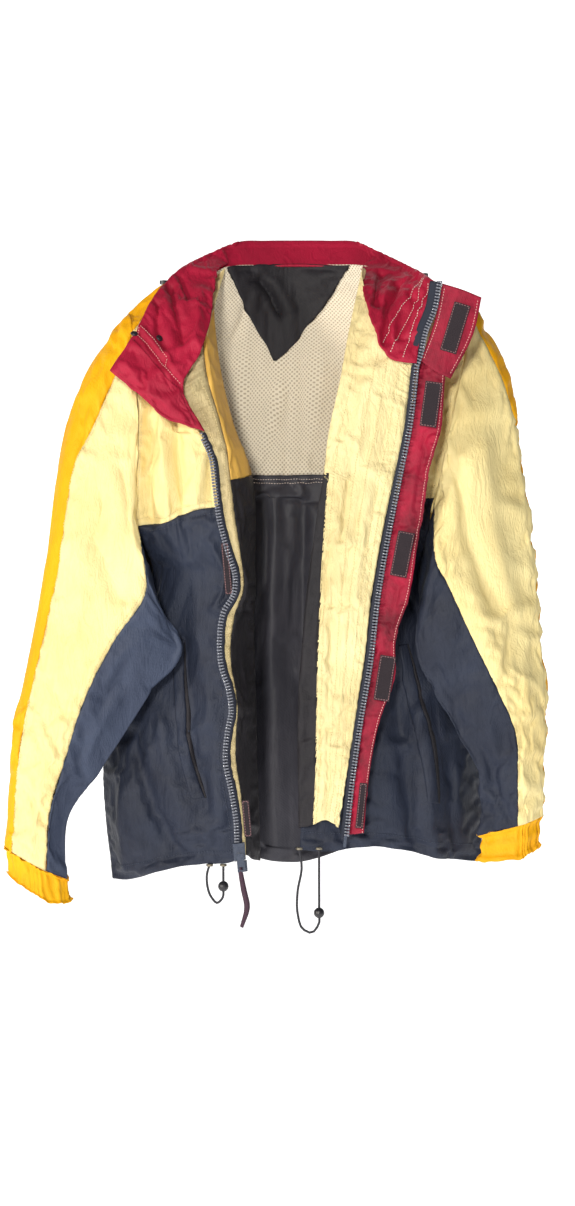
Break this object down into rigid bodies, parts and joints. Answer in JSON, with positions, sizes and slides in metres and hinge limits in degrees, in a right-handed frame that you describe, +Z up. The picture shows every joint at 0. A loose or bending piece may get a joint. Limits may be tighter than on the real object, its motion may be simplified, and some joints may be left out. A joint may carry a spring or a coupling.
{
  "type": "ski jacket",
  "caption": "Unlined-front nylon ski shell hanging open: coloured panels, folded-out collar, storm flap with hook strips, moulded zip, elastic cuffs and hem cords with ball locks.",
  "frame": {"origin": "the point inside the neck where a hanger's crown sits, on the middle line of the back neck", "axes": "+X towards the wearer's left, +Y towards the wearer's back, +Z up"},
  "size_m": [0.6547, 0.1891, 0.8669],
  "materials": {
    "cream": "matt woven nylon",
    "navy": "matt woven nylon",
    "red": "matt woven nylon",
    "yellow": "matt woven nylon",
    "facing": "matt woven nylon",
    "mesh": "open mesh",
    "lining": "smooth taffeta",
    "zip": "moulded",
    "tape": "woven tape",
    "hook": "hook tape",
    "cord": "braided",
    "plastic": "moulded",
    "metal": "antique"
  },
  "bodies": {
    "torso": {"back_yoke": "cream", "back_panel": "navy", "right_front_yoke": "cream", "right_front_panel": "navy", "left_front_yoke": "cream", "left_front_panel": "navy", "right_pocket_welt": "navy", "left_pocket_welt": "navy", "mesh_lining": "mesh", "neck_patch": "lining", "lower_lining": "lining", "left_inner_lining": "lining", "right_facing": "facing", "left_facing": "facing", "collar_back": "red", "collar_right": "red", "collar_placket": "red", "collar_left": "red", "zip_teeth_right": "zip", "zip_tape_right": "tape", "zip_teeth_left": "zip", "zip_tape_left": "tape", "zip_teeth_collar": "zip", "zip_tape_collar": "tape", "zip_box": "zip", "zip_pin": "zip", "collar_flap": "red", "hook_strip_1": "hook", "loop_strip_1": "hook", "loop_strip_2": "hook", "right_drawcord": "cord", "right_eyelet_1": "metal", "right_eyelet_2": "metal", "left_drawcord": "cord", "left_eyelet_1": "metal", "left_eyelet_2": "metal", "hood_stud_right": "plastic", "hood_stud_left": "plastic"},
    "right_sleeve": {"right_sleeve_front": "cream", "right_sleeve_stripe": "yellow", "right_sleeve_gusset": "navy", "right_sleeve_back": "cream", "right_cuff": "yellow"},
    "left_sleeve": {"left_sleeve_front": "cream", "left_sleeve_stripe": "yellow", "left_sleeve_gusset": "navy", "left_sleeve_back": "cream", "left_cuff": "yellow"},
    "storm_flap": {"storm_flap": "red", "hook_strip_2": "hook", "hook_strip_3": "hook", "hook_strip_4": "hook", "hook_strip_5": "hook"},
    "zip_slider": {"zip_slider": "zip"},
    "zip_pull": {"zip_pull": "zip", "zip_ribbon": "tape"},
    "right_cord_lock": {"right_cord_lock": "plastic"},
    "left_cord_lock": {"left_cord_lock": "plastic"}
  },
  "joints": [
    {"name": "right_sleeve_swing", "type": "hinge", "parent": "torso", "child": "right_sleeve", "pos_m": [-0.21, 0, -0.056], "axis": [0, 1, 0], "range_deg": [0, 50]},
    {"name": "left_sleeve_swing", "type": "hinge", "parent": "torso", "child": "left_sleeve", "pos_m": [0.222, 0, -0.055], "axis": [0, -1, 0], "range_deg": [0, 50]},
    {"name": "storm_flap_fold", "type": "hinge", "parent": "torso", "child": "storm_flap", "pos_m": [0.062, -0.0995, -0.704], "axis": [0.1531, 0, 0.9882], "range_deg": [-105, 0]},
    {"name": "zip_slider_slide", "type": "slide", "parent": "torso", "child": "zip_slider", "axis": [-0.0893, 0, 0.996], "range_m": [0, 0.478]},
    {"name": "zip_pull_swing", "type": "hinge", "parent": "zip_slider", "child": "zip_pull", "pos_m": [-0.06971, -0.099, -0.72603], "axis": [0.996, 0, 0.0893], "range_deg": [-170, 0]},
    {"name": "right_cord_lock_slide", "type": "slide", "parent": "torso", "child": "right_cord_lock", "axis": [0, 0, 1], "range_m": [0, 0.017]},
    {"name": "left_cord_lock_slide", "type": "slide", "parent": "torso", "child": "left_cord_lock", "axis": [0, 0, 1], "range_m": [0, 0.068]}
  ]
}
